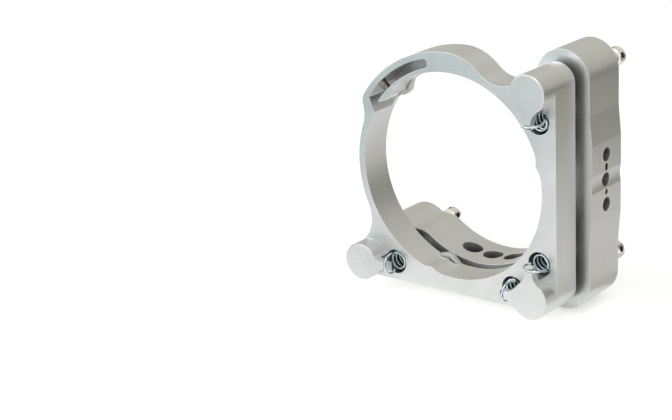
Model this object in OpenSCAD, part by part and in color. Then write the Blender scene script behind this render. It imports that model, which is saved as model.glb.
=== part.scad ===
// Kinematic mirror mount for a three-inch optic: a front plate with a monolithic
// flexure arm, pulled by four extension springs onto three ball-tipped adjusters
// that are threaded through an L-shaped back plate.
//
// X is right, Z is up and +Y points away from the optic side. The origin is the
// centre of the bore on the front face of the front plate. Adjusters, springs and
// pins all lie along Y. Corner names: tr is top right, bl bottom left, br bottom right.

/* [Optic] */
// Diameter of the optic that the mount holds
optic_d = 76.2; // [74:0.1:78]
// Radial room between the optic and the bore
bore_relief = 1.2; // [0.9:0.05:1.5]
// Half angle that a contact ridge spans on the bore, in degrees
ridge_half_deg = 8; // [6:0.5:9]
// How far a rear stop reaches over the edge of the optic
stop_reach = 1.3; // [0.8:0.1:1.8]
// Half angle that a rear stop spans on the bore, in degrees
stop_half_deg = 7.6; // [6.5:0.1:9]
// Thickness of the rear stops and of the web behind the flexure
stop_t = 2; // [1.5:0.1:3]
// Width of the relief cut and of the slit in front of the stops
relief_w = 0.45; // [0.3:0.05:0.7]

/* [Front plate] */
// Thickness of the front plate
front_t = 13.1; // [11:0.1:16]
// Radial thickness of the ring round the bore
ring_wall = 2.7; // [2:0.1:3.5]
// Wall between the bore and the spring holes, which sets where the adjusters stand
spring_wall = 2.33; // [2:0.01:3]
// Radius of the bosses over the adjuster tips
boss_r = 7.2; // [6.5:0.1:8]
// Height of the bosses in front of the plate
boss_h = 7.3; // [6:0.1:9]
// Radius of the hollows between ring and bosses
hollow_r = 12.4; // [9:0.1:15]
// Width of the small bevel on the bosses and turned pieces
edge_bevel = 0.4; // [0.2:0.05:0.6]

/* [Flexure] */
// Direction of the flexure's contact ridge, in degrees from +X towards +Z
flexure_deg = 135; // [130:1:138]
// Angle from the contact ridge back to the root of the arm
root_span_deg = 30.7; // [26:0.1:34]
// Angle from the contact ridge on to the free tip of the arm
tip_span_deg = 7; // [6:0.1:8]
// Thickness of the arm at its root
arm_root_t = 1.7; // [1.3:0.1:2.2]
// Thickness of the arm at its tip
arm_tip_t = 1; // [0.7:0.05:1.2]
// Width of the slot outside the arm's root
slot_w = 3.4; // [2.8:0.1:4]
// Wall outside the slot
housing_wall = 2.3; // [1.8:0.1:3]
// Radius of the housing's long shoulder towards the top right boss
shoulder_r = 20; // [16:0.5:22]
// Angle from the contact ridge on to the rounded end of the housing
corner_span_deg = 9.7; // [9:0.1:12]
// Radius of the rounded end of the housing
corner_r = 6; // [5:0.1:7]

/* [Spring seats] */
// Distance from a boss centre to its spring hole
spring_offset = 11.5; // [11:0.1:12.5]
// Diameter of the spring holes
spring_hole_d = 9.4; // [8.8:0.1:9.8]
// Thickness of the hooked tail over a spring hole
tail_t = 3.1; // [2.6:0.1:3.6]
// How far a tail reaches past the middle of its spring hole
tail_reach = 1.1; // [0.6:0.1:1.6]
// Half width of the tail at its tip
tail_half_w = 1.4; // [1.1:0.1:1.6]
// Radius of the hollow flanks of the tail
tail_hollow_r = 6.25; // [5:0.05:7]
// Depth of the notch that the spring hook lies in
notch_d = 0.9; // [0.6:0.1:1.2]
// Width of that notch
notch_w = 1.3; // [1.2:0.05:1.6]
// Distance of the notch centre from the tail tip
notch_back = 1; // [1:0.05:1.4]

/* [Springs] */
// Outer diameter of the spring coils
spring_d = 7.6; // [6.8:0.1:8]
// Diameter of the spring wire
wire_d = 0.9; // [0.7:0.05:1]
// Number of coils in a spring
spring_turns = 14; // [11:1:16]

/* [Back plate] */
// Gap between the plates with the adjusters at mid travel
plate_gap = 3.5; // [3:0.1:5]
// Thickness of the back plate
back_t = 20.4; // [17:0.1:24]
// Radius of the lobes round the adjuster bushings
lobe_r = 10.9; // [10:0.1:12]
// Distance from the adjusters' axes in to the arms' inner faces
arm_reach = 7.8; // [6.2:0.1:8.4]
// How much smaller the radius of the clearance arc round the beam is than the bore's
beam_step = 0.5; // [0:0.1:1.5]
// Radius of the hollow between an arm's inner face and its end lobe
lobe_hollow_r = 5; // [3:0.1:6]
// Radius of the crest between an arm's inner face and the clearance arc
crest_r = 9; // [4:0.5:10]

/* [Mounting pads] */
// Height of the pads over the arms' outer faces
pad_h = 1; // [0.5:0.1:2]
// Half length of the flat of a pad
pad_half = 14.5; // [13:0.1:17]
// Length of the ramp at each end of a pad
pad_ramp = 11; // [6:0.5:14]
// Diameter of the post that the pad's groove fits
post_d = 25.4; // [20:0.1:30]
// Depth of that groove
groove_d = 0.4; // [0.2:0.05:0.6]
// Distance between neighbouring screw holes in a pad
screw_pitch = 9.4; // [9:0.1:10.5]
// Diameter of the screw holes
screw_hole_d = 5.2; // [4.2:0.1:5.4]
// Diameter of the counterbores on the beam side
counterbore_d = 7.9; // [7.2:0.1:8.2]
// Depth of the counterbores under the clearance arc
counterbore_depth = 4.6; // [4:0.1:6]
// Diameter of the alignment dowels
dowel_d = 2; // [1.5:0.1:2.4]
// Distance of each dowel hole from the middle screw hole
dowel_offset = 4.7; // [4.6:0.1:5]
// Depth of the dowel holes
dowel_depth = 4; // [3:0.1:5]
// How far the slotted dowel hole lets a dowel shift
dowel_slot = 1; // [0.5:0.1:1.2]

/* [Adjusters] */
// Outer diameter of the adjuster thread
thread_d = 6.35; // [6:0.05:6.6]
// Outer diameter of the threaded bushings
bushing_d = 8; // [7.6:0.1:8.6]
// How far the bushings stand out behind the back plate
bushing_out = 9.4; // [6:0.1:12]
// Diameter of the adjuster heads
head_d = 7.2; // [6.8:0.1:8]
// Length of the adjuster heads
head_l = 4.7; // [4:0.1:6]
// Gap between a bushing and the adjuster head
head_gap = 4.1; // [3:0.1:6]
// Diameter of the cross holes in the heads
tommy_d = 2.2; // [1.5:0.1:2.4]
// Size across flats of the hex socket in the heads
hex_af = 2; // [1.5:0.1:2.5]
// Depth of that socket
hex_depth = 3; // [2:0.1:4]
// Diameter of the ball tips
ball_d = 4.8; // [4:0.1:5.2]
// Diameter of the pockets that the ball tips reach into
pocket_d = 9; // [8.4:0.1:9.6]
// Thickness of the boss in front of a pocket
pocket_cover = 4.3; // [3.5:0.1:5]
// Thickness of the hardened cone and vee seats
seat_t = 3; // [2.8:0.1:4]
// Depth of the cone and of the vee in the seats
seat_depth = 2.5; // [2:0.1:2.6]

/* [Pins and setscrew] */
// Diameter of the pins that anchor the springs
pin_d = 2; // [1.6:0.1:2.4]
// Length of those pins
pin_l = 12; // [11:0.1:13]
// Diameter of the setscrew that bends the flexure arm
setscrew_d = 3; // [2.5:0.1:3.6]
// Distance of the setscrew's axis from the front face
setscrew_y = 2.55; // [2.2:0.05:4]
// Size across flats of the setscrew's socket
setscrew_hex_af = 1.5; // [1:0.1:1.6]

/* [Fits] */
// Radial clearance of pressed pieces
press_gap = 0.01; // [0.005:0.005:0.02]
// Radial clearance of the threads
thread_gap = 0.04; // [0.02:0.01:0.08]
// Clearance between a ball tip and its seat
seat_gap = 0.15; // [0.1:0.01:0.2]
// Clearance between a spring end and what it hooks on
hook_gap = 0.1; // [0.06:0.01:0.2]

/* [Hidden] */
$fn = 96;
eps = 0.5;
// Curves that would only touch cross by this much, which keeps solids sound
touch = 0.002;
sides_of_hex = 6;

bore_r = optic_d / 2 + bore_relief;
ring_r = bore_r + ring_wall;
// Adjusters stand on the diagonals, where the spring holes just clear the bore
spring_ring_r = bore_r + spring_wall + spring_hole_d / 2;
pivot_offset = (spring_offset + sqrt(2 * pow(spring_ring_r, 2) - pow(spring_offset, 2))) / 2;
edge = pivot_offset + boss_r;
stop_y = front_t - stop_t;
slit_y = stop_y - relief_w;

corner_xz = [for (s = [[1, 1], [-1, -1], [1, -1]]) pivot_offset * s];
ridge_degs = [flexure_deg - 120, flexure_deg + 120];
// Ridges and stops are drawn on by this much into the plate
ridge_root = 0.5;
ridge_steps = 5;
stop_tip_half_deg = 2;

root_deg = flexure_deg - root_span_deg;
tip_deg = flexure_deg + tip_span_deg;
root_r = bore_r + arm_root_t;
tip_r = bore_r + arm_tip_t;
slot_r = root_r + slot_w;
housing_r = slot_r + housing_wall;
// The arm's outer face is one circle, nearest to the bore at the tip
arm_shift = (root_r - tip_r) / (1 - cos(tip_deg - root_deg));
arm_circle_r = tip_r + arm_shift;
arm_root_deg = 5;
// The cut end of the ring beyond the tip falls in two slants towards the bore
cut_outer_deg = tip_deg + 2.5;
cut_middle_deg = tip_deg + 6;
cut_inner_deg = tip_deg + 8;
cut_middle_r = bore_r + 1.8;
// Round between the slot's outer wall and the cut end
slot_corner_r = 1.4;

tail_tip = spring_offset + tail_reach;
notch_at = tail_tip - notch_back;
roof_y = tail_t - boss_h;

back_y = front_t + plate_gap;
rear_y = back_y + back_t;
mid_y = back_y + back_t / 2;
back_edge = pivot_offset + lobe_r;
arm_inner = pivot_offset - arm_reach;
beam_r = bore_r - beam_step;
pad_face = back_edge + pad_h;

pocket_y = pocket_cover - boss_h;
cone_tip_y = pocket_y + seat_t - seat_depth;
ball_r = ball_d / 2;
ball_y = cone_tip_y + (ball_r + seat_gap) * sqrt(2);
flat_y = ball_y - ball_r - seat_gap;
seat_r = pocket_d / 2 - press_gap;
thread_r = thread_d / 2;
neck_step = 0.35;
neck_r = thread_r - neck_step;
neck_l = 4;
head_y = rear_y + bushing_out + head_gap;
end_y = head_y + head_l;
// How far the heads stand turned from the mount's axes
tommy_deg = 18;

wire_r = wire_d / 2;
coil_r = spring_d / 2 - wire_r;
pin_r = pin_d / 2;
pin_y = rear_y - wire_d - hook_gap - pin_r;
pin_floor_y = pin_y - pin_r - press_gap;
rear_leg = 1.35 * coil_r;
front_coil_y = coil_r / 6;
rear_coil_y = pin_y - rear_leg;
// The front hook is a ring over the tail, clear of the corners of the tail's notch
hook_r = 1.06 * coil_r;
hook_mid_y = notch_d - boss_h - hook_gap
    + sqrt(pow(hook_r - wire_r, 2) - tail_half_w * tail_half_w);
// It is cut off this far past its half circle
hook_cut_deg = 40;
// It leans by this share of its width, towards the boss where the leg begins
hook_lean = 0.12;
// Points of the leg from the hook to the first coil, in coil radii
leg_shape = [[1.05, -0.6, -0.22], [0.99, -0.2, -0.42]];
hook_steps = 8;
loop_r = pin_r + 1.5 * hook_gap + wire_r;
// The rear leg leaves the last coil at this share of the coil radius, and bends at
// this distance from it and from the pin
rear_share = 0.8;
rear_bend = 0.55 * coil_r;
wire_sides = 6;

setscrew_r = setscrew_d / 2;
setscrew_gap = 0.06;
setscrew_sunk = 0.2;
setscrew_tip = arm_face_r(flexure_deg) + setscrew_gap;
setscrew_end = housing_r - setscrew_sunk;

ball_color = "dimgray";
plate_color = "silver";
bright_color = "gainsboro";

// ---- Geometry helpers ----

// A point at radius r and angle deg in the plate's plane
function polar(r, deg) = r * [cos(deg), sin(deg)];

// Distance of the arm's outer face from the axis at angle deg
function arm_face_r(deg) =
    arm_circle_r - arm_shift * cos(tip_deg - deg);

// Centre of a circle of radius f that touches, from outside, the circle of
// radius ra about the origin and the circle of radius rb about b
function blend_centre(ra, b, rb, f, side) =
    let (d = norm(b))
    let (along = (pow(ra + f, 2) - pow(rb + f, 2) + d * d) / (2 * d))
    let (across = sqrt(pow(ra + f, 2) - along * along))
    let (u = b / d)
    along * u + side * across * [-u.y, u.x];

// Points of a smooth curve through the points p, n steps between two of them
function smooth(p, n) = [
    for (i = [0 : len(p) - 2], k = [0 : n - 1])
        let (a = p[max(i - 1, 0)], b = p[i], c = p[i + 1])
        let (d = p[min(i + 2, len(p) - 1)], t = k / n)
        (2 * b + (c - a) * t + (2 * a - 5 * b + 4 * c - d) * t * t
            + (3 * b - a - 3 * c + d) * pow(t, 3)) / 2,
    p[len(p) - 1]
];

// A flat outline in X and Z made into a slab from y0 to y1
module slab(y0, y1) {
    translate([0, y1, 0])
        rotate([90, 0, 0])
            linear_extrude(y1 - y0) children();
}

// A round bar along Y from y0 to y1
module bar(r, y0, y1) {
    translate([0, y0, 0])
        rotate([-90, 0, 0])
            cylinder(r = r, h = y1 - y0);
}

// A turned piece along Y from a profile of [radius, y] points
module turned(profile) {
    rotate([-90, 0, 0])
        rotate_extrude() polygon(profile);
}

// A hexagonal socket along Y
module hex_bar(af, y0, y1) {
    translate([0, y0, 0])
        rotate([-90, 0, 0])
            cylinder(r = af / sqrt(3), h = y1 - y0, $fn = sides_of_hex);
}

// Places children at a corner given in X and Z
module at(xz) {
    translate([xz.x, 0, xz.y]) children();
}

// Places children at a spring hole; local +Z runs from the boss to the hole
module at_spring(xz, deg) {
    at(xz)
        rotate([0, deg, 0])
            translate([0, 0, spring_offset]) children();
}

// Runs children at each of the four spring holes
module each_spring() {
    at_spring(corner_xz[0], 180) children();
    at_spring(corner_xz[1], 90) children();
    at_spring(corner_xz[2], 0) children();
    at_spring(corner_xz[2], 270) children();
}

// The slab of the front plate between two directions
module wedge(deg0, deg1, y0, y1) {
    reach = 2 * housing_r;
    slab(y0, y1) polygon([[0, 0], polar(reach, deg0), polar(reach, deg1)]);
}

// ---- Front plate ----

module boss() {
    turned([
        [0, front_t], [boss_r, front_t], [boss_r, edge_bevel - boss_h],
        [boss_r - edge_bevel, -boss_h], [0, -boss_h],
    ]);
}

// The pointed, notched tail over a spring hole, from the boss centre along +Z
module tail() {
    side = tail_half_w + tail_hollow_r;
    along = sqrt(pow(boss_r + tail_hollow_r, 2) - side * side);
    difference() {
        union() {
            slab(-boss_h, eps) polygon([[0, 0], [side, along], [-side, along]]);
            translate([-tail_half_w, -boss_h, boss_r])
                cube([2 * tail_half_w, boss_h + eps, tail_tip - boss_r]);
        }
        for (s = [-1, 1])
            at([s * side, along]) bar(tail_hollow_r + touch, -boss_h - eps, 2 * eps);
        translate([-boss_r, -boss_h - eps, notch_at - notch_w / 2])
            cube([2 * boss_r, notch_d + eps, notch_w]);
    }
}

// Centres of the hollows and of the housing's two rounded ends
function hollow_tr() =
    blend_centre(ring_r, corner_xz[0], boss_r, hollow_r, 1);
function hollow_bl() =
    blend_centre(ring_r, corner_xz[1], boss_r, hollow_r, -1);
function corner() = polar(housing_r - corner_r, flexure_deg + corner_span_deg);
function hollow_corner() = blend_centre(ring_r, corner(), corner_r, hollow_r, 1);

// The shoulder touches the housing's circle and the top right hollow
function shoulder_deg() =
    let (a = housing_r - shoulder_r, b = norm(hollow_tr()), c = shoulder_r + hollow_r)
    atan2(hollow_tr().y, hollow_tr().x) + acos((a * a + b * b - c * c) / (2 * a * b));
function shoulder() = polar(housing_r - shoulder_r, shoulder_deg());

// Everything in front of and around the bore, still without holes
module front_form() {
    o = pivot_offset;
    difference() {
        union() {
            bar(ring_r, 0, front_t);
            slab(0, front_t)
                polygon([
                    hollow_corner(), corner(), shoulder(), hollow_tr(), [o, o], [edge, o],
                    [edge, -o], [o, -edge], [-o, -edge], [-o, -o], hollow_bl(), [0, 0],
                ]);
            intersection() {
                bar(housing_r, 0, front_t);
                wedge(shoulder_deg(), flexure_deg + corner_span_deg, -eps, front_t + eps);
            }
            at(shoulder()) bar(shoulder_r + touch, 0, front_t);
            at(corner()) bar(corner_r + touch, 0, front_t);
            for (xz = corner_xz)
                at(xz) boss();
        }
        for (c = [hollow_corner(), hollow_tr(), hollow_bl()])
            at(c) bar(hollow_r + touch, -eps, front_t + eps);
    }
    each_spring()
        translate([0, 0, -spring_offset]) tail();
}

// The peaked rib that touches the optic, pointing along +X; its hollow flanks run
// out into the bore, as the square of the share of the way to the peak
module ridge_outline() {
    root = bore_r + ridge_root;
    flanks = [
        for (k = [-ridge_steps : ridge_steps])
            let (share = 1 - abs(k) / ridge_steps)
            polar(bore_r - bore_relief * share * share, k * ridge_half_deg / ridge_steps)
    ];
    polygon(concat(
        [polar(root, -ridge_half_deg)], flanks, [polar(root, ridge_half_deg)]
    ));
}

// The blunt stop behind the optic's edge, pointing along +X
module stop_outline() {
    root = bore_r + ridge_root;
    reach = optic_d / 2 - stop_reach;
    polygon([
        polar(root, stop_half_deg), polar(bore_r, stop_half_deg),
        polar(reach, stop_tip_half_deg), polar(reach, -stop_tip_half_deg),
        polar(bore_r, -stop_half_deg), polar(root, -stop_half_deg),
    ]);
}

// The way along the cut end of the slot, outwards, and the centre of its round
function cut_way() =
    let (d = polar(slot_r, cut_outer_deg) - polar(cut_middle_r, cut_middle_deg))
    d / norm(d);
function cut_side() = slot_corner_r * [cut_way().y, -cut_way().x];
function slot_corner() =
    let (q = polar(cut_middle_r, cut_middle_deg) + cut_side(), b = q * cut_way())
    q + (sqrt(b * b - q * q + pow(slot_r - slot_corner_r, 2)) - b) * cut_way();

// The flexure arm, thinnest at its rounded tip
module arm() {
    intersection() {
        at(polar(arm_shift, tip_deg + 180)) bar(arm_circle_r, -2 * eps, slit_y);
        wedge(root_deg - arm_root_deg, tip_deg, -3 * eps, slit_y + eps);
    }
    at(polar(bore_r + arm_tip_t / 2, tip_deg))
        bar(arm_tip_t / 2 + touch, -2 * eps, slit_y);
}

// The slot round the arm; it also frees the arm from the web behind it
module slot() {
    end_r = (slot_r - root_r) / 2;
    c = slot_corner();
    difference() {
        union() {
            intersection() {
                bar(slot_r, -eps, stop_y);
                slab(-2 * eps, stop_y + eps)
                    polygon([
                        [0, 0], polar(2 * housing_r, root_deg),
                        polar(2 * housing_r, tip_deg), c * (slot_r + eps) / norm(c),
                        c, c - cut_side(), polar(cut_middle_r, cut_middle_deg),
                        polar(bore_r - eps, cut_inner_deg),
                    ]);
            }
            at(c) bar(slot_corner_r + touch, -eps, stop_y);
            at(polar(root_r + end_r, root_deg)) bar(end_r + touch, -eps, stop_y);
        }
        arm();
    }
}

// What the bore takes away, with ridges and stops spared
module bore_cut() {
    difference() {
        bar(bore_r, -boss_h - eps, front_t + eps);
        for (deg = concat(ridge_degs, flexure_deg))
            rotate([0, -deg, 0]) {
                slab(0, slit_y) ridge_outline();
                slab(stop_y, front_t) stop_outline();
            }
    }
}

module front_plate() {
    color(plate_color)
        difference() {
            front_form();
            bore_cut();
            slot();
            for (xz = corner_xz)
                at(xz) bar(pocket_d / 2, pocket_y, front_t + eps);
            each_spring()
                bar(spring_hole_d / 2, roof_y, front_t + eps);
            setscrew_place()
                cylinder(r = setscrew_r + thread_gap, h = 2 * housing_wall, center = true);
        }
}

// ---- Back plate ----

// The same point of the other arm, across the mount's diagonal
function across(p) = [-p.y, -p.x];

module back_blank() {
    o = pivot_offset;
    rise = lobe_hollow_r - arm_inner + o;
    run = sqrt(pow(lobe_r + lobe_hollow_r, 2) - rise * rise);
    hollow = [run - o, rise - o];
    crest_z = -arm_inner - crest_r;
    crest = [-sqrt(pow(beam_r + crest_r, 2) - crest_z * crest_z), crest_z];
    groove = [0, groove_d - pad_face - post_d / 2];
    lower = [
        [o, -back_edge], [pad_half + pad_ramp, -back_edge], [pad_half, -pad_face],
        [-pad_half, -pad_face], [-pad_half - pad_ramp, -back_edge], [-o, -back_edge],
        [-o, -o], hollow, [hollow.x, -arm_inner], [crest.x, -arm_inner], crest, [0, 0],
    ];
    upper = [for (i = [len(lower) - 1 : -1 : 0]) across(lower[i])];
    difference() {
        union() {
            slab(back_y, rear_y) polygon(concat(lower, upper));
            for (xz = corner_xz)
                at(xz) bar(lobe_r, back_y, rear_y);
            for (c = [crest, across(crest)])
                at(c) bar(crest_r + touch, back_y, rear_y);
        }
        bar(beam_r, back_y - eps, rear_y + eps);
        for (c = [hollow, across(hollow)])
            at(c) bar(lobe_hollow_r - touch, back_y - eps, rear_y + eps);
        for (c = [groove, across(groove)])
            at(c) bar(post_d / 2, back_y - eps, rear_y + eps);
    }
}

// Copies children across the mount's diagonal, which swaps the two arms
module both_arms() {
    children();
    mirror([1, 0, 1]) children();
}

// Screw and dowel holes of the lower arm's pad
module pad_holes() {
    floor_z = -beam_r - counterbore_depth;
    for (k = [-1 : 1])
        translate([k * screw_pitch, mid_y, 0]) {
            translate([0, 0, -pad_face - eps])
                cylinder(d = screw_hole_d, h = pad_face + eps - arm_inner / 2);
            translate([0, 0, floor_z])
                cylinder(d = counterbore_d, h = -floor_z - arm_inner / 2);
        }
    translate([dowel_offset, mid_y, -pad_face - eps])
        cylinder(d = dowel_d, h = dowel_depth + eps);
    for (s = [-0.5, 0.5])
        translate([s * dowel_slot - dowel_offset, mid_y, -pad_face - eps])
            cylinder(d = dowel_d, h = dowel_depth + eps);
    translate([-dowel_offset - dowel_slot / 2, mid_y - dowel_d / 2, -pad_face - eps])
        cube([dowel_slot, dowel_d, dowel_depth + eps]);
}

module back_plate() {
    color(plate_color)
        difference() {
            back_blank();
            both_arms() pad_holes();
            for (xz = corner_xz)
                at(xz) bar(bushing_d / 2 + press_gap, back_y - eps, rear_y + eps);
            each_spring() {
                bar(spring_hole_d / 2, back_y - eps, rear_y + eps);
                translate([-pin_r - press_gap, pin_floor_y, -pin_l / 2 - press_gap])
                    cube([pin_d + 2 * press_gap, rear_y - pin_y + 2 * pin_d,
                        pin_l + 2 * press_gap]);
            }
        }
}

// ---- Adjusters ----

module bushing(xz) {
    out_y = rear_y + bushing_out;
    r = bushing_d / 2;
    color(bright_color)
        at(xz)
            difference() {
                turned([
                    [0, back_y], [r, back_y], [r, out_y - edge_bevel],
                    [r - edge_bevel, out_y], [0, out_y],
                ]);
                bar(thread_r + thread_gap, back_y - eps, out_y + eps);
            }
}

module adjuster(xz) {
    r = head_d / 2;
    neck_y = ball_y + neck_l;
    color(bright_color)
        at(xz)
            difference() {
                turned([
                    [0, ball_y], [neck_r, ball_y], [neck_r, neck_y],
                    [thread_r, neck_y + thread_r - neck_r], [thread_r, head_y],
                    [r - edge_bevel, head_y], [r, head_y + edge_bevel],
                    [r, end_y - edge_bevel], [r - edge_bevel, end_y], [0, end_y],
                ]);
                translate([0, ball_y, 0]) sphere(r = ball_r + seat_gap / 3);
                hex_bar(hex_af, end_y - hex_depth, end_y + eps);
                translate([0, head_y + head_l / 2, 0])
                    for (deg = [-tommy_deg, 90 - tommy_deg])
                        rotate([0, deg, 0])
                            cylinder(d = tommy_d, h = 2 * head_d, center = true);
            }
}

module ball(xz) {
    color(ball_color)
        at(xz)
            translate([0, ball_y, 0]) sphere(r = ball_r);
}

module cone_seat(xz) {
    color(ball_color)
        at(xz)
            difference() {
                bar(seat_r, pocket_y, pocket_y + seat_t);
                turned([
                    [0, cone_tip_y],
                    [seat_depth + eps, cone_tip_y + seat_depth + eps],
                    [0, cone_tip_y + seat_depth + eps],
                ]);
            }
}

// The vee runs along the line to the cone seat
module vee_seat(xz) {
    mouth = seat_depth + eps;
    color(ball_color)
        at(xz)
            difference() {
                bar(seat_r, pocket_y, pocket_y + seat_t);
                translate([0, cone_tip_y, -seat_r - eps])
                    linear_extrude(2 * (seat_r + eps))
                        polygon([[0, 0], [mouth, mouth], [-mouth, mouth]]);
            }
}

module flat_seat(xz) {
    color(ball_color)
        at(xz) bar(seat_r, pocket_y, flat_y);
}

// ---- Springs and pins ----

// Centre line of a spring in its hole's frame, hooked at the front over the tail
// and at the back round the anchor pin
function spring_path() =
    let (lap_deg = -20, steps = 10, total = spring_turns * steps)
    let (sweep_deg = 360 * spring_turns - 180 - lap_deg)
    let (front = concat(
        [
            for (i = [0 : hook_steps])
                let (deg = (180 + hook_cut_deg) * i / hook_steps - hook_cut_deg)
                let (x = -hook_r * cos(deg))
                [x, hook_mid_y - hook_r * sin(deg), tail_reach - notch_back - hook_lean * x]
        ],
        [for (p = leg_shape) coil_r * p]
    ))
    let (coil = [
        for (i = [0 : total])
            let (deg = lap_deg + sweep_deg * i / total)
            let (y = front_coil_y + (rear_coil_y - front_coil_y) * i / total)
            [coil_r * cos(deg), y, coil_r * sin(deg)]
    ])
    let (back = concat(
        [[-coil_r * rear_share, rear_coil_y + rear_bend, 0]],
        [for (deg = [180 : -45 : 0]) [loop_r * cos(deg), pin_y + loop_r * sin(deg), 0]],
        [[loop_r * rear_share, pin_y - rear_bend, 0]]
    ))
    concat(
        smooth(concat(front, [coil[0]]), 2), [for (i = [1 : total - 1]) coil[i]],
        smooth(concat([coil[total]], back), 2)
    );

// Round wire swept along a path, as rings of points joined by triangles
module wire(path, r) {
    sides = wire_sides;
    n = len(path);
    rings = [
        for (i = [0 : n - 1])
            let (step = path[min(i + 1, n - 1)] - path[max(i - 1, 0)])
            let (t = step / norm(step))
            let (out = [path[i].x, 0, path[i].z])
            let (side = norm(cross(t, out)) > 0.3 ? cross(t, out) : [0, 0, 1])
            let (u = side / norm(side), v = cross(t, u))
            for (k = [0 : sides - 1])
                path[i] + r * (cos(360 * k / sides) * u + sin(360 * k / sides) * v)
    ];
    skin = [
        for (i = [0 : n - 2], k = [0 : sides - 1])
            let (a = i * sides + k, b = i * sides + (k + 1) % sides)
            each [[a, b, a + sides], [b, b + sides, a + sides]]
    ];
    caps = [
        [for (k = [sides - 1 : -1 : 0]) k],
        [for (k = [0 : sides - 1]) (n - 1) * sides + k],
    ];
    polyhedron(points = rings, faces = concat(skin, caps));
}

// hand is 1 or -1 and sets the side of the hooks' cut ends
module spring(xz, deg, hand) {
    color(bright_color)
        at_spring(xz, deg)
            mirror([1 - hand, 0, 0]) wire(spring_path(), wire_r);
}

module anchor_pin(xz, deg) {
    color(bright_color)
        at_spring(xz, deg)
            translate([0, pin_y, 0])
                cylinder(r = pin_r, h = pin_l, center = true);
}

// ---- Flexure setscrew ----

// Local +Z runs along the setscrew, outwards; the origin lies in the housing wall
module setscrew_place() {
    rotate([0, 90 - flexure_deg, 0])
        translate([0, setscrew_y, (slot_r + housing_r) / 2]) children();
}

module flexure_setscrew() {
    length = setscrew_end - setscrew_tip;
    socket = length / 3;
    color(ball_color)
        rotate([0, 90 - flexure_deg, 0])
            translate([0, setscrew_y, setscrew_tip])
                difference() {
                    rotate_extrude()
                        polygon([
                            [0, 0], [setscrew_r - edge_bevel, 0], [setscrew_r, edge_bevel],
                            [setscrew_r, length - edge_bevel / 2],
                            [setscrew_r - edge_bevel / 2, length], [0, length],
                        ]);
                    translate([0, 0, length - socket])
                        cylinder(r = setscrew_hex_af / sqrt(3), h = socket + eps,
                            $fn = sides_of_hex);
                }
}

back_plate();
front_plate();
bushing(corner_xz[0]);  // bushing_tr
bushing(corner_xz[1]);  // bushing_bl
bushing(corner_xz[2]);  // bushing_br
adjuster(corner_xz[0]);  // adjuster_tr
adjuster(corner_xz[1]);  // adjuster_bl
adjuster(corner_xz[2]);  // adjuster_br
ball(corner_xz[0]);  // ball_tr
ball(corner_xz[1]);  // ball_bl
ball(corner_xz[2]);  // ball_br
vee_seat(corner_xz[0]);  // vee_seat_tr
flat_seat(corner_xz[1]);  // flat_seat_bl
cone_seat(corner_xz[2]);  // cone_seat_br
spring(corner_xz[0], 180, -1);  // spring_tr
spring(corner_xz[1], 90, -1);  // spring_bl
spring(corner_xz[2], 0, 1);  // spring_br_up
spring(corner_xz[2], 270, 1);  // spring_br_left
anchor_pin(corner_xz[0], 180);  // anchor_pin_tr
anchor_pin(corner_xz[1], 90);  // anchor_pin_bl
anchor_pin(corner_xz[2], 0);  // anchor_pin_br_up
anchor_pin(corner_xz[2], 270);  // anchor_pin_br_left
flexure_setscrew();
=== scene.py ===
"""Looks of a kinematic mirror mount for a three inch optic.

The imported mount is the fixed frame. Its machined nodes keep their shapes and get the
finishes below; springs and the small setscrew are swept and turned here in finer form.
"""

import logging
import math
from dataclasses import dataclass, field
from enum import Enum
from typing import Any

import bmesh
import bpy
import numpy as np
from mathutils import Matrix, Vector


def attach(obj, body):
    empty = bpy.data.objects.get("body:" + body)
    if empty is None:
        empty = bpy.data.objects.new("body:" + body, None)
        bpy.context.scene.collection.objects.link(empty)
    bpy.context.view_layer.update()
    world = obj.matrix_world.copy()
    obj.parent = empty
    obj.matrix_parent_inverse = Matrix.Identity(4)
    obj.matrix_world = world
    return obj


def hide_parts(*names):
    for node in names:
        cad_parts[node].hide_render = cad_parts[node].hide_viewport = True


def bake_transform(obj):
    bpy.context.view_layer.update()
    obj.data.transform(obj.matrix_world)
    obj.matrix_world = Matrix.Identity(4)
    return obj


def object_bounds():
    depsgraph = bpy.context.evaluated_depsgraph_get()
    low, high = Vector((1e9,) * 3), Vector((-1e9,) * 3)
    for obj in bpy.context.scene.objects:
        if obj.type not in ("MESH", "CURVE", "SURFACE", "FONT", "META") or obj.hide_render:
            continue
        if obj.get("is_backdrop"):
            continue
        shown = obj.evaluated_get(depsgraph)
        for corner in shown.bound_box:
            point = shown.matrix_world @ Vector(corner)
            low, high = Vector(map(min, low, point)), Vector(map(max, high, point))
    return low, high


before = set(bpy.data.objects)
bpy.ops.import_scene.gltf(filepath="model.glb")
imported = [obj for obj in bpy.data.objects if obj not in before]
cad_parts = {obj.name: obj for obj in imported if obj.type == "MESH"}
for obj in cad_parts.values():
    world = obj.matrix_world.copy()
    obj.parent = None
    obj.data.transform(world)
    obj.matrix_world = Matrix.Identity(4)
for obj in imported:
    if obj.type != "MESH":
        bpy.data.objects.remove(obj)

LOG = logging.getLogger("mirror_mount")
# One millimetre in metres.
MM = 0.001
# Rays that look for a rounded edge and for open sky.
EDGE_SAMPLES = SKY_SAMPLES = 8
# Painted shade in turned pieces: the share of open sky at which a hole is painted fully
# dark, the share from which nothing is shaded, and the shade's colour.
HOLE_SKY, OPEN_SKY = 0.15, 0.5
HOLE_SHADE = "2b2118"
# Sharpness angle of flat pieces in degrees.
FLAT_DEG = 30.0
# Points nearer than the first are merged, and edges shorter than the second taken out.
MERGE_LENGTH, SLIVER_LENGTH = 1e-7, 1e-8
Tree = bpy.types.NodeTree
Node = bpy.types.Node
Socket = bpy.types.NodeSocket


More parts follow.
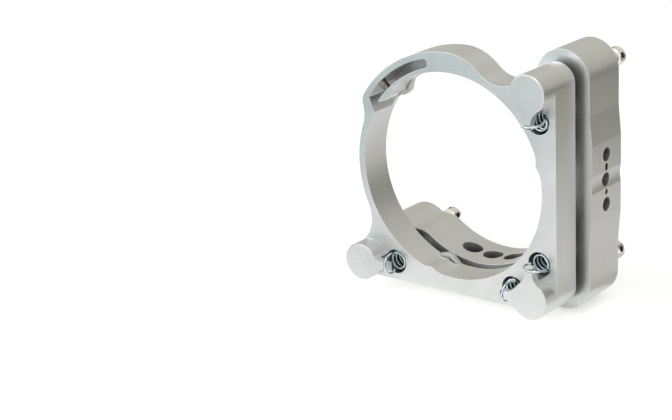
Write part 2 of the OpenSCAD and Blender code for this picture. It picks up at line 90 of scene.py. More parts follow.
def linear(code: str) -> tuple[float, float, float, float]:
    """Turns an sRGB hex colour into a linear one.

    Args:
        code: six hex digits, as "c8cccc".

    Returns:
        Red, green, blue and alpha between 0 and 1.
    """
    parts = [int(code[i:i + 2], 16) / 255 for i in (0, 2, 4)]
    values = [p / 12.92 if p <= 0.04045 else ((p + 0.055) / 1.055) ** 2.4 for p in parts]
    return values[0], values[1], values[2], 1.0


def per_metre(size_mm: float) -> float:
    """Gives the scale of a texture whose features are size_mm wide."""
    return 1 / (size_mm * MM)


def add(tree: Tree, kind: str, links: dict[Any, Any] | None = None,
        sockets: dict[Any, Any] | None = None, **settings: Any) -> Node:
    """Adds one node with its settings, its socket values and its links.

    Args:
        tree: the node tree that takes the node.
        kind: Blender's name of the node's type, without "ShaderNode".
        links: for each input of the node, the output socket that feeds it.
        sockets: for each input of the node, its fixed value.
        settings: attributes of the node itself.

    Returns:
        The new node.
    """
    node = tree.nodes.new("ShaderNode" + kind)
    for key, value in settings.items():
        setattr(node, key, value)
    for key, value in (sockets or {}).items():
        node.inputs[key].default_value = value
    for key, source in (links or {}).items():
        tree.links.new(source, node.inputs[key])
    return node


def blank_material(name: str) -> tuple[bpy.types.Material, Tree, Node]:
    """Makes a material with an empty tree and its output node.

    Args:
        name: the finish's own name.

    Returns:
        The material, its tree and its output node.
    """
    material = bpy.data.materials.new(name)
    material.use_nodes = True
    tree = material.node_tree
    tree.nodes.clear()
    return material, tree, add(tree, "OutputMaterial")


def shade_recesses(tree: Tree, colour: str, recess_shade: str, recess_mm: float) -> Socket:
    """Paints shade: darkens a colour where little open sky is seen within a short distance.

    Args:
        tree: the node tree that takes the nodes.
        colour: the sRGB hex colour of the open surface.
        recess_shade: the sRGB hex colour deep in a hole.
        recess_mm: how far away the walls of a hole are still felt.

    Returns:
        A socket with the shaded colour.
    """
    sky = add(tree, "AmbientOcclusion", sockets={"Distance": recess_mm * MM},
              samples=SKY_SAMPLES)
    seen = add(tree, "MapRange", {"Value": sky.outputs["AO"]},
               {"From Min": HOLE_SKY, "From Max": OPEN_SKY})
    return add(tree, "Mix", {"Factor": seen.outputs["Result"]},
               {"A": linear(recess_shade), "B": linear(colour)},
               data_type="RGBA").outputs["Result"]


@dataclass(frozen=True)
class BlastedStainless:
    """Bead blasted stainless steel: a soft grey sheen with tiny dents, and edges with a
    painted highlight.

    The dents are about 0.1 mm in the real finish and are drawn at grit_mm so that they
    show. Edges are broken by hand with a stone, so they are rough and catch light from many
    sides, and they are mixed towards a paler colour as a painted highlight. Holes and the
    narrow flexure slot get painted shade where they see little open sky. The sky fields are
    shares of open sky, edge_begins and edge_full are cosines of the turn from flat to
    rounded normal, and slot_deep and slot_light are the shares of open colour left under
    the painted shade on the flexure slot's walls, at their darkest and lightest.
    """

    name: str = "bead_blasted_stainless"
    light: str = "dfe1e0"
    dark: str = "cfd0ce"
    # Colour of the painted highlight on the edges, then the colours of the painted shade in
    # holes and in the flexure slot.
    edge_highlight: str = "e2e4e3"
    recess_shade: str = "2a2218"
    slot_shade: str = "5c492f"
    metallic: float = 0.85
    roughness: float = 0.36
    roughness_spread: float = 0.06
    cloud_mm: float = 14.0
    grit_mm: float = 0.6
    speckle_low: float = 0.12
    speckle_high: float = 0.38
    side_grain: float = 0.3
    dent_mm: float = 0.03
    dent_strength: float = 0.28
    edge_mm: float = 0.24
    edge_begins: float = 0.997
    edge_full: float = 0.96
    edge_roughness: float = 0.55
    recess_mm: float = 9.0
    hole_sky: float = 0.12
    open_sky: float = 0.38
    slot_start_mm: float = 25.0
    slot_end_mm: float = 35.0
    slot_near_mm: float = 1.0
    slot_far_mm: float = 15.0
    slot_lower_mm: float = -3.0
    slot_deep: float = 0.4
    slot_light: float = 0.95

    def tint(self, tree: Tree, where: Socket, flat: Socket, grit: Socket) -> Socket:
        """Colours the open steel from dark to light by clouds times grit.

        The spread is full on faces square to Y, which are blasted last, and falls to
        side_grain of it on faces along Y.

        Args:
            tree: the material's node tree.
            where: place in object coordinates.
            flat: the surface's own normal.
            grit: the grit's noise.

        Returns:
            A socket with the colour.
        """
        clouds = add(tree, "TexNoise", {"Vector": where},
                     {"Scale": per_metre(self.cloud_mm), "Detail": 3.0})
        speckle = add(tree, "Math", {0: clouds.outputs["Fac"], 1: grit},
                      operation="MULTIPLY")
        spread = add(tree, "MapRange", {"Value": speckle.outputs["Value"]},
                     {"From Min": self.speckle_low, "From Max": self.speckle_high,
                      "To Min": -0.5, "To Max": 0.5})
        endwise = add(tree, "VectorMath", {0: flat}, {1: (0.0, 1.0, 0.0)},
                      operation="DOT_PRODUCT")
        blasted = add(tree, "Math", {0: endwise.outputs["Value"]}, operation="ABSOLUTE")
        share = add(tree, "MapRange", {"Value": blasted.outputs["Value"]},
                    {"To Min": self.side_grain})
        shade = add(tree, "Math", {0: spread.outputs["Result"], 1: share.outputs["Result"]},
                    {2: 0.5}, operation="MULTIPLY_ADD")
        return add(tree, "Mix", {"Factor": shade.outputs["Value"]},
                   {"A": linear(self.dark), "B": linear(self.light)},
                   data_type="RGBA").outputs["Result"]

    def slot(self, tree: Tree, where: Socket) -> tuple[Socket, Socket]:
        """Finds the flexure slot by place: it lies where Z minus X is large.

        It is open at both ends. Z plus X runs along it from the setscrew at zero: the walls
        get the most painted shade there, and less down to slot_lower_mm and up to
        slot_far_mm.

        Args:
            tree: the material's node tree.
            where: place in object coordinates.

        Returns:
            How far a place is inside the slot, and how much painted light its wall gets, 0
            to 1.
        """
        across = add(tree, "VectorMath", {0: where}, {1: (-1.0, 0.0, 1.0)},
                     operation="DOT_PRODUCT")
        along = add(tree, "VectorMath", {0: where}, {1: (1.0, 0.0, 1.0)},
                    operation="DOT_PRODUCT")
        upper = add(tree, "MapRange", {"Value": along.outputs["Value"]},
                    {"From Min": self.slot_near_mm * MM, "From Max": self.slot_far_mm * MM,
                     "To Min": self.slot_deep, "To Max": self.slot_light})
        lower = add(tree, "MapRange", {"Value": along.outputs["Value"]},
                    {"From Min": 0.0, "From Max": self.slot_lower_mm * MM,
                     "To Max": self.slot_light})
        wall = add(tree, "Math", {0: upper.outputs["Result"], 1: lower.outputs["Result"]},
                   operation="MAXIMUM")
        inside = add(tree, "MapRange", {"Value": across.outputs["Value"]},
                     {"From Min": self.slot_start_mm * MM,
                      "From Max": self.slot_end_mm * MM})
        return inside.outputs["Result"], wall.outputs["Value"]

    def shaded(self, tree: Tree, where: Socket, colour: Socket) -> Socket:
        """Paints shade: darkens a colour where it sees little open sky, and by place in the
        slot.

        Args:
            tree: the material's node tree.
            where: place in object coordinates.
            colour: the colour of the open surface.

        Returns:
            A socket with the shaded colour.
        """
        sky = add(tree, "AmbientOcclusion", sockets={"Distance": self.recess_mm * MM},
                  samples=SKY_SAMPLES)
        bare = add(tree, "MapRange", {"Value": sky.outputs["AO"]},
                   {"From Min": self.hole_sky, "From Max": self.open_sky})
        inside, wall = self.slot(tree, where)
        slot = add(tree, "Math", {0: inside, 1: wall}, operation="MULTIPLY")
        seen = add(tree, "Math", {0: bare.outputs["Result"], 1: slot.outputs["Value"]},
                   operation="MAXIMUM")
        # Painted shade: brown on the flexure slot's walls, near black in holes, mixed in
        # where little open sky is seen.
        shadow = add(tree, "Mix", {"Factor": inside},
                     {"A": linear(self.recess_shade), "B": linear(self.slot_shade)},
                     data_type="RGBA")
        return add(tree, "Mix", {"Factor": seen.outputs["Value"],
                                 "A": shadow.outputs["Result"], "B": colour},
                   data_type="RGBA").outputs["Result"]

    def material(self) -> bpy.types.Material:
        """Builds the material: speckled steel, rough edges with a painted highlight,
        painted shade in holes and in the slot, dents.

        Returns:
            The material.
        """
        material, tree, output = blank_material(self.name)
        where = add(tree, "TexCoord").outputs["Object"]
        flat = add(tree, "NewGeometry").outputs["Normal"]
        grit = add(tree, "TexNoise", {"Vector": where},
                   {"Scale": per_metre(self.grit_mm), "Detail": 2.0,
                    "Roughness": 0.6}).outputs["Fac"]
        rounded = add(tree, "Bevel", sockets={"Radius": self.edge_mm * MM},
                      samples=EDGE_SAMPLES).outputs["Normal"]
        facing = add(tree, "VectorMath", {0: rounded, 1: flat}, operation="DOT_PRODUCT")
        # Painted highlight: the rounded edges are mixed towards a paler colour, and they
        # also get their own roughness.
        edge_highlight = add(tree, "MapRange", {"Value": facing.outputs["Value"]},
                   {"From Min": self.edge_begins,
                    "From Max": self.edge_full}).outputs["Result"]
        highlit = add(tree, "Mix", {"Factor": edge_highlight, "A": self.tint(tree, where, flat, grit)},
                   {"B": linear(self.edge_highlight)}, data_type="RGBA")
        grain = add(tree, "MapRange", {"Value": grit},
                    {"To Min": self.roughness - self.roughness_spread,
                     "To Max": self.roughness + self.roughness_spread})
        rough = add(tree, "Mix", {"Factor": edge_highlight, "A": grain.outputs["Result"]},
                    {"B": self.edge_roughness})
        bump = add(tree, "Bump", {"Height": grit, "Normal": rounded},
                   {"Strength": self.dent_strength, "Distance": self.dent_mm * MM})
        shader = add(tree, "BsdfPrincipled",
                     {"Base Color": self.shaded(tree, where, highlit.outputs["Result"]),
                      "Roughness": rough.outputs["Result"],
                      "Normal": bump.outputs["Normal"]}, {"Metallic": self.metallic})
        tree.links.new(shader.outputs["BSDF"], output.inputs["Surface"])
        return material


@dataclass(frozen=True)
class TurnedStainless:
    """Turned stainless steel, left bright: fine tool rings draw its reflections out along
    the axis, and the mouths of its holes get painted shade.

    ring_mm is the tool's feed and streak_mm the length of a mark round the axis.
    """

    name: str = "turned_stainless"
    colour: str = "bfbcb5"
    recess_shade: str = HOLE_SHADE
    recess_mm: float = 4.0
    roughness: float = 0.16
    roughness_spread: float = 0.04
    ring_mm: float = 0.18
    streak_mm: float = 25 / 3
    ring_depth_mm: float = 0.002
    ring_strength: float = 0.25

    def material(self) -> bpy.types.Material:
        """Builds the material: rings of the turning tool repeat along Y."""
        material, tree, output = blank_material(self.name)
        where = add(tree, "TexCoord").outputs["Object"]
        round_axis = per_metre(self.streak_mm)
        stretched = add(tree, "Mapping", {"Vector": where},
                        {"Scale": (round_axis, per_metre(self.ring_mm), round_axis)})
        rings = add(tree, "TexNoise", {"Vector": stretched.outputs["Vector"]},
                    {"Scale": 1.0, "Detail": 2.0})
        rough = add(tree, "MapRange", {"Value": rings.outputs["Fac"]},
                    {"To Min": self.roughness - self.roughness_spread,
                     "To Max": self.roughness + self.roughness_spread})
        bump = add(tree, "Bump", {"Height": rings.outputs["Fac"]},
                   {"Strength": self.ring_strength, "Distance": self.ring_depth_mm * MM})
        # Painted shade in the mouths of holes, where little open sky is seen.
        colour = shade_recesses(tree, self.colour, self.recess_shade, self.recess_mm)
        shader = add(tree, "BsdfPrincipled",
                     {"Base Color": colour, "Roughness": rough.outputs["Result"],
                      "Normal": bump.outputs["Normal"]}, {"Metallic": 1.0})
        tree.links.new(shader.outputs["BSDF"], output.inputs["Surface"])
        return material


@dataclass(frozen=True)
class RolledThread:
    """Bright turned steel with a fine rolled thread of 0.254 mm pitch on the shank.

    The polished head mirrors the room, and the thread dulls the shank to an even grey. The
    thread is a helix worked out from the angle round the adjuster's own axis and the place
    along it. It stands only where the shank is, not on the head. Both roughnesses are
    added to that of the polished steel.
    """

    name: str
    axis_x: float
    axis_z: float
    thread_end_y: float
    colour: str = "f3f3f1"
    recess_shade: str = HOLE_SHADE
    recess_mm: float = 4.0
    roughness: float = 0.14
    head_roughness: float = -0.04
    shank_roughness: float = 0.2
    pitch_mm: float = 0.254
    depth_mm: float = 0.05
    tooth_strength: float = 0.8

    def material(self) -> bpy.types.Material:
        """Builds the material: a saw of angle over a full turn plus Y over the pitch."""
        material, tree, output = blank_material(self.name)
        where = add(tree, "TexCoord").outputs["Object"]
        centred = add(tree, "Mapping", {"Vector": where},
                      {"Location": (-self.axis_x, 0.0, -self.axis_z)})
        part = add(tree, "SeparateXYZ", {"Vector": centred.outputs["Vector"]})
        angle = add(tree, "Math", {0: part.outputs["X"], 1: part.outputs["Z"]},
                    operation="ARCTAN2")
        turn = add(tree, "Math", {0: angle.outputs["Value"]}, {1: 1 / (2 * math.pi)},
                   operation="MULTIPLY")
        rise = add(tree, "Math", {0: part.outputs["Y"]}, {1: per_metre(self.pitch_mm)},
                   operation="MULTIPLY")
        phase = add(tree, "Math", {0: turn.outputs["Value"], 1: rise.outputs["Value"]},
                    operation="ADD")
        tooth = add(tree, "Math", {0: phase.outputs["Value"]}, {1: 1.0},
                    operation="PINGPONG")
        shank = add(tree, "Math", {0: part.outputs["Y"]}, {1: self.thread_end_y},
                    operation="LESS_THAN")
        height = add(tree, "Math", {0: tooth.outputs["Value"], 1: shank.outputs["Value"]},
                     operation="MULTIPLY")
        bump = add(tree, "Bump", {"Height": height.outputs["Value"]},
                   {"Strength": self.tooth_strength, "Distance": self.depth_mm * MM})
        rough = add(tree, "MapRange", {"Value": shank.outputs["Value"]},
                    {"To Min": self.roughness + self.head_roughness,
                     "To Max": self.roughness + self.shank_roughness})
        # Painted shade in the mouths of holes, where little open sky is seen.
        colour = shade_recesses(tree, self.colour, self.recess_shade, self.recess_mm)
        shader = add(tree, "BsdfPrincipled",
                     {"Base Color": colour, "Roughness": rough.outputs["Result"],
                      "Normal": bump.outputs["Normal"]}, {"Metallic": 1.0})
        tree.links.new(shader.outputs["BSDF"], output.inputs["Surface"])
        return material


@dataclass(frozen=True)
class SmoothMetal:
    """A plain metal with faint cloudy stains, such as drawn wire or ground hard steel.

    The stains are stain_mm wide. They make the metal up to dull rougher or down to polish
    smoother, and wave it by wave_mm so that reflections waver.
    """

    name: str
    colour: str
    stain: str
    roughness: float
    stain_mm: float
    polish: float = 0.05
    dull: float = 0.08
    wave_mm: float = 0.01
    wave_strength: float = 0.1

    def material(self) -> bpy.types.Material:
        """Builds the material: stains shift its colour and roughness a little."""
        material, tree, output = blank_material(self.name)
        where = add(tree, "TexCoord").outputs["Object"]
        stains = add(tree, "TexNoise", {"Vector": where},
                     {"Scale": per_metre(self.stain_mm), "Detail": 3.0})
        tint = add(tree, "Mix", {"Factor": stains.outputs["Fac"]},
                   {"A": linear(self.colour), "B": linear(self.stain)}, data_type="RGBA")
        rough = add(tree, "MapRange", {"Value": stains.outputs["Fac"]},
                    {"To Min": self.roughness - self.polish,
                     "To Max": self.roughness + self.dull})
        bump = add(tree, "Bump", {"Height": stains.outputs["Fac"]},
                   {"Strength": self.wave_strength, "Distance": self.wave_mm * MM})
        shader = add(tree, "BsdfPrincipled",
                     {"Base Color": tint.outputs["Result"],
                      "Roughness": rough.outputs["Result"],
                      "Normal": bump.outputs["Normal"]}, {"Metallic": 1.0})
        tree.links.new(shader.outputs["BSDF"], output.inputs["Surface"])
        return material


# Bright bluish plating on drawn wire: thin white streaks beside dark ones.
ZINC_WIRE = SmoothMetal("zinc_plated_spring_wire", "e3eef1", "b1c5cc",
                        roughness=0.1, stain_mm=1.5)
# Ground grey steel: a plain soft mirror, darker than the plates.
HARD_STEEL = SmoothMetal("ground_hardened_steel", "a9a8a4", "8d8c88",
                         roughness=0.18, stain_mm=3.0)
# Warm grey steel, cut sharp: small glints along each thread and round the socket.
SETSCREW_STEEL = SmoothMetal("passivated_stainless_setscrew", "bdbab2", "959189",
                             roughness=0.14, stain_mm=1.0)


class Corner(Enum):
    """Corners that hold an adjuster: X and Z of its axis in metres."""

    TR = (0.0380017, 0.0380017)
    BL = (-0.0380017, -0.0380017)
    BR = (0.0380017, -0.0380017)

    @property
    def key(self) -> str:
        """The corner's name as used in node names."""
        return self.name.lower()


def mesh_piece(name: str, points: np.ndarray, faces: list[tuple[int, ...]] | np.ndarray,
               material: bpy.types.Material, smooth_deg: float) -> bpy.types.Object:
    """Puts worked-out points and faces into a new object at the origin.

    Args:
        name: the piece's name.
        points: one row of X, Y and Z in metres for each vertex.
        faces: vertex numbers of each face, outwards.
        material: its finish.
        smooth_deg: edges sharper than this stay sharp.

    Returns:
        The new object, linked to the scene.
    """
    mesh = bpy.data.meshes.new(name)
    mesh.from_pydata(points, [], [tuple(int(i) for i in f) for f in faces])
    mesh.materials.append(material)
    mesh.shade_smooth()
    mesh.set_sharp_from_angle(angle=math.radians(smooth_deg))
    mesh.validate()
    piece = bpy.data.objects.new(name, mesh)
    bpy.context.scene.collection.objects.link(piece)
    return piece


def grid_faces(rows: int, columns: int) -> np.ndarray:
    """Numbers the quads of a grid whose columns close into rings.

    Args:
        rows: rings in the grid.
        columns: points in each ring.

    Returns:
        Four vertex numbers for each quad, row after row.
    """
    row, column = np.meshgrid(np.arange(rows - 1), np.arange(columns), indexing="ij")
    following = (column + 1) % columns
    quads = [row * columns + column, row * columns + following,
             (row + 1) * columns + following, (row + 1) * columns + column]
    return np.stack(quads, -1).reshape(-1, 4)


def smooth_curve(points: np.ndarray, steps: int) -> np.ndarray:
    """Runs a smooth curve through points, the cubic whose slope at each point is half
    the way from the point before to the point after.

    Args:
        points: one row for each point.
        steps: steps between two points.

    Returns:
        The points of the curve, the last one left out.
    """
    padded = np.concatenate([points[:1], points, points[-1:]])
    before, start, end, after = (padded[i:len(points) - 1 + i, None] for i in range(4))
    t = np.linspace(0, 1, steps, endpoint=False)[None, :, None]
    curve = (2 * start + (end - before) * t
             + (2 * before - 5 * start + 4 * end - after) * t ** 2
             + (3 * start - before - 3 * end + after) * t ** 3) / 2
    return curve.reshape(-1, points.shape[1])


@dataclass
class ExtensionSpring:
    """One extension spring, from its hook over the boss's tail to its loop on the pin.

    Lengths are in metres, and hole_offset is from the corner's axis to the spring's. The
    coil begins coil_front behind the plate's face and ends coil_back before the pin. leg
    holds the points between hook and coil, lead_in and lead_out are X and Y of the loop's
    two ends, behind the coil and before the pin. All of these are in coil radii, except
    that lead_out's X is in loop radii. turned_deg turns the hole round its corner, and a
    hand of -1 mirrors the spring.
    """

    node: str
    behind: str
    body: str
    corner: Corner
    turned_deg: float
    hand: float
    finish: bpy.types.Material = field(repr=False)
    hole_offset: float = 11.5 * MM
    wire_r: float = 0.45 * MM
    coil_r: float = 3.35 * MM
    coil_front: float = 1 / 6
    coil_back: float = 1.35
    coil_start_deg: float = -20.0
    coil_end_deg: float = -180.0
    hook_r: float = 3.551 * MM
    hook_mid_y: float = -3.734 * MM
    hook_raised: float = 0.1 * MM
    hook_lean: float = 0.12
    hook_start_deg: float = -40.0
    leg: tuple[tuple[float, float, float], ...] = ((1.05, -0.6, -0.22), (0.99, -0.2, -0.42))
    lead_in: tuple[float, float] = (-0.8, 0.55)
    lead_out: tuple[float, float] = (0.8, 0.55)
    loop_r: float = 1.6 * MM
    pin_y: float = 35.0 * MM
    still_y: float = 32.0 * MM
    moving_y: float = 2.0 * MM
    turns: int = 14
    steps: int = 30
    hook_points: int = 9
    loop_step_deg: float = 45.0
    curve_steps: int = 8
    sides: int = 14
    smooth_deg: float = 50.0

    def hook(self) -> np.ndarray:
        """Works out the hook: an arc of a circle across the tail, leaning with its cosine.

        Returns:
            The points of the arc, then those of the leg that leads into the coil.
        """
        arc = np.radians(np.linspace(self.hook_start_deg, 180, self.hook_points))
        ring = np.stack([-self.hook_r * np.cos(arc),
                         self.hook_mid_y - self.hook_r * np.sin(arc),
                         self.hook_raised + self.hook_lean * self.hook_r * np.cos(arc)], -1)
        return np.concatenate([ring, self.coil_r * np.array(self.leg)])

    def coil(self) -> np.ndarray:
        """Works out the coil: a helix whose angle and Y both grow evenly.

        Returns:
            The points of the helix, from the front to the back.
        """
        share = np.linspace(0, 1, self.turns * self.steps)
        swept = 360 * self.turns + self.coil_end_deg - self.coil_start_deg
        angle = np.radians(swept * share + self.coil_start_deg)
        first_y = self.coil_front * self.coil_r
        last_y = self.pin_y - self.coil_back * self.coil_r
        return np.stack([self.coil_r * np.cos(angle), first_y + (last_y - first_y) * share,
                         self.coil_r * np.sin(angle)], -1)

    def loop(self, last_y: float) -> np.ndarray:
        """Works out the rear loop: a half circle round the anchor pin and its two leads.

        Args:
            last_y: Y of the coil's last point.

        Returns:
            The points of the loop, from the coil to its free end.
        """
        arc = np.radians(np.arange(180, -1, -self.loop_step_deg))
        half = np.stack([self.loop_r * np.cos(arc),
                         self.pin_y + self.loop_r * np.sin(arc), 0 * arc], -1)
        (in_x, in_y), (out_x, out_y) = self.lead_in, self.lead_out
        return np.concatenate([
            [[in_x * self.coil_r, last_y + in_y * self.coil_r, 0]],
            half,
            [[out_x * self.loop_r, self.pin_y - out_y * self.coil_r, 0]],
        ])

    def path(self) -> np.ndarray:
        """Joins hook, coil and loop by smooth curves in the spring hole's own frame.

        Returns:
            The centre line, one row for each point, X to Z in metres.
        """
        helix = self.coil()
        back = self.loop(helix[-1, 1])
        line = np.concatenate([
            smooth_curve(np.concatenate([self.hook(), helix[:1]]), self.curve_steps),
            helix[:-1],
            smooth_curve(np.concatenate([helix[-1:], back]), self.curve_steps),
            back[-1:],
        ])
        return line * np.array([self.hand, 1, 1])

    def points(self) -> np.ndarray:
        """Carries a circle along the wire's centre line and places it at its corner.

        Each ring starts square to the wire in a frame of its own. The angle by which
        the frame before it, carried on, differs from it is summed along the wire and
        turns the ring back, so the skin runs along the wire without a twist.

        Returns:
            The rings' points in the mount's frame, then the two end points.
        """
        line = self.path()
        along = np.gradient(line, axis=0)
        along /= np.linalg.norm(along, axis=1, keepdims=True)
        steep = np.abs(along[:, 2:]) > 0.8
        own = np.cross(along, np.where(steep, [1.0, 0.0, 0.0], [0.0, 0.0, 1.0]))
        own /= np.linalg.norm(own, axis=1, keepdims=True)
        other = np.cross(along, own)
        carried = own[:-1] - along[1:] * (own[:-1] * along[1:]).sum(1, keepdims=True)
        turn = np.arctan2((carried * other[1:]).sum(1), (carried * own[1:]).sum(1))
        turn = np.concatenate([[0.0], np.cumsum(turn)])[:, None]
        first = np.cos(turn) * own + np.sin(turn) * other
        second = np.cross(along, first)
        angle = np.linspace(0, 2 * math.pi, self.sides, endpoint=False)[None, :, None]
        rings = line[:, None] + self.wire_r * (
            np.cos(angle) * first[:, None] + np.sin(angle) * second[:, None])
        local = np.concatenate([rings.reshape(-1, 3), line[[0, -1]]])
        local = local + [0, 0, self.hole_offset]
        a = math.radians(self.turned_deg)
        x, z = self.corner.value
        return np.stack([
            local[:, 0] * math.cos(a) + local[:, 2] * math.sin(a) + x, local[:, 1],
            local[:, 2] * math.cos(a) - local[:, 0] * math.sin(a) + z,
        ], -1)

    def build(self) -> bpy.types.Object:
        """Makes the spring, which stands for its plainer node, and hides that node.

        Returns:
            The spring's object.
        """
        points = self.points()
        rows = (len(points) - 2) // self.sides
        ring = np.arange(self.sides)
        following = (ring + 1) % self.sides
        start = np.full(self.sides, len(points) - 2)
        end = np.full(self.sides, len(points) - 1)
        last = (rows - 1) * self.sides
        faces = [*grid_faces(rows, self.sides),
                 *np.stack([start, following, ring], -1),
                 *np.stack([end, last + ring, last + following], -1)]
        piece = mesh_piece(self.node + "_wire", points, faces, self.finish,
                           self.smooth_deg)
        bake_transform(piece)
        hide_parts(self.node)
        return piece


def dress(node: str, material: bpy.types.Material) -> None:
    """Puts a finish on a node of the frame, in every slot it has.

    Args:
        node: the node's name.
        material: its finish.
    """
    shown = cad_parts[node]
    for slot in shown.material_slots:
        slot.material = material
    LOG.info("dressed %s in %s", node, material.name)


@dataclass
class ScrewedAdjuster:
    """One adjuster: bushing in the back plate, threaded shank with its head, ball tip.

    The thread ends at head_y, where the head begins.
    """

    corner: Corner
    bright: bpy.types.Material
    hard: bpy.types.Material
    head_y: float = 50.5 * MM

    def dress(self) -> None:
        """Gives the bushing, the adjuster and the ball their finishes."""
        x, z = self.corner.value
        key = self.corner.key
        thread = RolledThread("fine_thread_" + key, x, z, self.head_y)
        dress("adjuster_" + key, thread.material())
        dress("bushing_" + key, self.bright)
        dress("ball_" + key, self.hard)


@dataclass
class Plates:
    """The two machined plates with what is pressed into them."""

    steel: bpy.types.Material
    hard: bpy.types.Material
    bright: bpy.types.Material

    def dress(self) -> None:
        """Gives plates, seats and anchor pins their finishes."""
        for node in ("front_plate", "back_plate"):
            dress(node, self.steel)
        for node in ("vee_seat_tr", "flat_seat_bl", "cone_seat_br"):
            dress(node, self.hard)
        for key in ("tr", "bl", "br_up", "br_left"):
            dress("anchor_pin_" + key, self.bright)


@dataclass
class FlexureSetscrew:
    """The setscrew that bends the flexure arm, cut with a real 0.5 mm helical thread.

    Its axis is slanted in the XZ plane by direction_deg from X, at axis_y. Lengths are in
    metres, and the hexagon socket is a third of the screw deep.
    """

    finish: bpy.types.Material
    direction_deg: float = 135.0
    axis_y: float = 2.55 * MM
    radius: float = 1.5 * MM
    pitch: float = 0.5 * MM
    depth: float = 0.26 * MM
    bevel: float = 0.3 * MM
    hex_af: float = 1.5 * MM
    sides: int = 48
    rings_per_turn: int = 8
    smooth_deg: float = 35.0
    tip: float = field(init=False)
    end: float = field(init=False)

    def __post_init__(self) -> None:
        """Takes the screw's two ends from its node, which lies on the slanted axis."""
        co = np.array([v.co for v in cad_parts["flexure_setscrew"].data.vertices])
        a = math.radians(self.direction_deg)
        along = co[:, 0] * math.cos(a) + co[:, 2] * math.sin(a)
        self.tip, self.end = float(along.min()), float(along.max())

    def build(self) -> bpy.types.Object:
        """Makes the screw as one grid of rings from its tip to the socket's floor.

        The radius falls from the crest by a triangle wave of turns minus rise over the
        pitch. The socket's rings are hexagons: half the size across flats over the cosine
        of the angle from the middle of the nearest flat.

        Returns:
            The setscrew's object.
        """
        length = self.end - self.tip
        socket = length / 3
        rows = int(length / self.pitch * self.rings_per_turn)
        angle = np.linspace(0, 2 * math.pi, self.sides, endpoint=False)
        rise = np.linspace(0, length, rows)[:, None]
        wave = np.abs(((rise / self.pitch - angle / (2 * math.pi)) % 1.0) * 2 - 1)
        room = np.minimum(rise, length - rise) + self.radius - self.bevel
        shank = np.minimum(self.radius - self.depth * wave, room)
        flat = (angle + math.pi / 6) % (math.pi / 3) - math.pi / 6
        hexagon = (self.hex_af / 2 / np.cos(flat))[None]
        radius = np.concatenate([np.zeros((1, self.sides)), shank, hexagon, hexagon,
                                 np.zeros((1, self.sides))])
        height = np.concatenate([[0.0], rise[:, 0], [length], [length - socket],
                                 [length - socket]])[:, None]
        u, v = radius * np.cos(angle), radius * np.sin(angle)
        s = self.tip + height + 0 * u
        a = math.radians(self.direction_deg)
        points = np.stack([s * math.cos(a) + u * math.sin(a), self.axis_y + v,
                           s * math.sin(a) - u * math.cos(a)], -1).reshape(-1, 3)
        piece = mesh_piece("flexure_setscrew_thread", points,
                           grid_faces(len(radius), self.sides)[:, ::-1], self.finish,
                           self.smooth_deg)
        mesh_clean(piece)
        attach(piece, "setscrew")
        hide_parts("flexure_setscrew")
        return piece


def mesh_clean(piece: bpy.types.Object) -> None:
    """Merges doubled points of a piece, such as a pole, and turns its faces outwards.

    Args:
        piece: the piece to clean.
    """
    work = bmesh.new()
    work.from_mesh(piece.data)
    bmesh.ops.remove_doubles(work, verts=work.verts, dist=MERGE_LENGTH)
    bmesh.ops.dissolve_degenerate(work, edges=work.edges, dist=SLIVER_LENGTH)
    bmesh.ops.recalc_face_normals(work, faces=work.faces)
    work.to_mesh(piece.data)
    work.free()


@dataclass(frozen=True)
class Lamp:
    """One square soft lamp that faces the mount.

    place and size, the length of a side, are in metres, and power is in watts.
    """

    name: str
    place: tuple[float, float, float]
    size: float
    power: float
    colour: str

    def build(self) -> None:
        """Hangs the lamp."""
        data = bpy.data.lights.new(self.name, "AREA")
        data.size, data.energy = self.size, self.power
        data.color = linear(self.colour)[:3]
        lamp = bpy.data.objects.new(self.name, data)
        lamp.location = self.place
        lamp.rotation_mode = "QUATERNION"
        lamp.rotation_quaternion = Vector(self.place).to_track_quat("Z", "Y")
        bpy.context.scene.collection.objects.link(lamp)


@dataclass(frozen=True)
class Card:
    """A grey card round the mount, for the metal to reflect.

    Only reflections see it: it is an even grey and throws neither light nor shadow. place
    is X and Y of the middle of its foot, which is square to that direction. height is its
    length where it lies, lean_deg is how far its top leans away from the mount, so that 90
    lies flat, and raised is how far its foot is above the floor. Lengths are in metres.
    """

    name: str
    place: tuple[float, float]
    width: float
    height: float
    colour: str
    lean_deg: float = 0.0
    raised: float = 0.0

    def build(self) -> None:
        """Stands or lays the card as one plain face."""
        x, y = self.place
        lean = math.radians(self.lean_deg)
        away = np.array([x, y, 0.0]) / math.hypot(x, y)
        side = np.array([-away[1], away[0], 0.0]) * self.width / 2
        low = np.array([x, y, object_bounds()[0].z + self.raised + MM])
        rise = math.sin(lean) * away + math.cos(lean) * np.array([0, 0, 1])
        high = low + self.height * rise
        points = np.stack([low - side, low + side, high + side, high - side])
        material, tree, output = blank_material(self.name)
        material.cycles.emission_sampling = "NONE"
        paper = add(tree, "Emission", sockets={"Color": linear(self.colour),
                                               "Strength": 1.0})
        tree.links.new(paper.outputs["Emission"], output.inputs["Surface"])
        card = mesh_piece(self.name, points, [(0, 1, 2, 3)], material, FLAT_DEG)
        card.visible_camera = card.visible_diffuse = card.visible_shadow = False
        card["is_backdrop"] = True


LAMPS = (
    Lamp("front_left", (-0.9, -1.1, 0.5), 0.9, 9.3, "fcfeff"),
    Lamp("overhead", (0.35, -0.45, 1.1), 0.8, 2.0, "ffffff"),
)
RIGHT_REAR = (0.13, 0.17)
